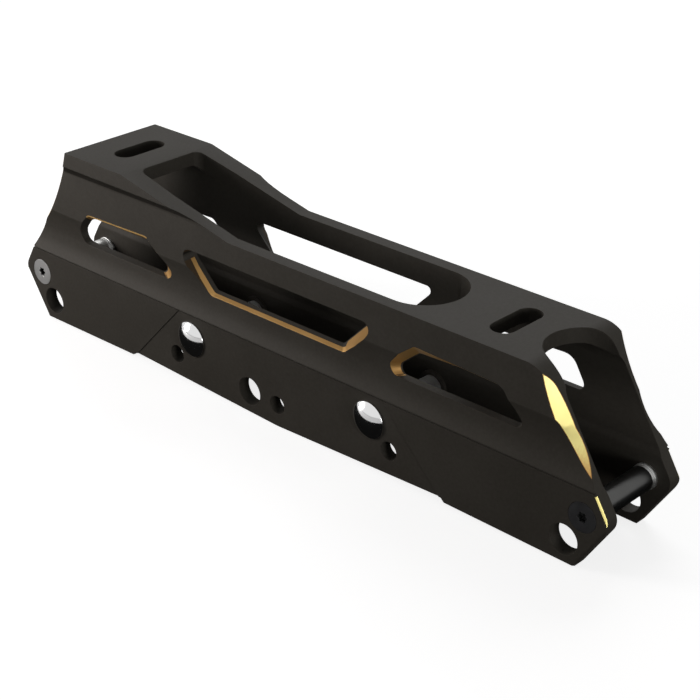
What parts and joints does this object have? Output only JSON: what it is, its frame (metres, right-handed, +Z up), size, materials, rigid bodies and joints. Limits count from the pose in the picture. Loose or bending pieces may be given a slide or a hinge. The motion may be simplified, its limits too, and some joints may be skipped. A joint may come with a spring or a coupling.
{
  "type": "inline skate frame",
  "caption": "Machined channel frame that carries inline skate wheels on cross bars under a stepped deck with two slotted bolt points.",
  "frame": {"origin": "centre of the frame's footprint, at the height of its lowest edge", "axes": "+X along the frame to the toe, +Y across it to the screw side, +Z up to the decks"},
  "size_m": [0.259, 0.041, 0.0699],
  "materials": {
    "frame_metal": "dark bead blasted and anodised, bare gold on the bevels",
    "bright_steel": "turned and polished",
    "black_steel": "blackened",
    "dome_chrome": "mirror polished"
  },
  "bodies": {
    "frame": {"frame_body": "frame_metal", "rear_thread_insert": "bright_steel", "front_thread_insert": "bright_steel"},
    "rear_axle_bar": {"rear_axle": "bright_steel"},
    "front_axle_bar": {"front_axle": "black_steel"},
    "rear_barrel": {"rear_mid_barrel": "dome_chrome"},
    "front_barrel": {"front_mid_barrel": "dome_chrome"},
    "rear_screw": {"rear_mid_screw": "black_steel"},
    "front_screw": {"front_mid_screw": "black_steel"}
  },
  "joints": [
    {"name": "rear_axle_out", "type": "slide", "parent": "frame", "child": "rear_axle_bar", "axis": [0, -1, 0], "range_m": [0, 0.045]},
    {"name": "front_axle_out", "type": "slide", "parent": "frame", "child": "front_axle_bar", "axis": [0, -1, 0], "range_m": [0, 0.045]},
    {"name": "rear_barrel_out", "type": "slide", "parent": "frame", "child": "rear_barrel", "axis": [0, -1, 0], "range_m": [0, 0.045]},
    {"name": "front_barrel_out", "type": "slide", "parent": "frame", "child": "front_barrel", "axis": [0, -1, 0], "range_m": [0, 0.045]},
    {"name": "rear_screw_out", "type": "slide", "parent": "frame", "child": "rear_screw", "axis": [0, 1, 0], "range_m": [0, 0.022]},
    {"name": "front_screw_out", "type": "slide", "parent": "frame", "child": "front_screw", "axis": [0, 1, 0], "range_m": [0, 0.022]}
  ]
}
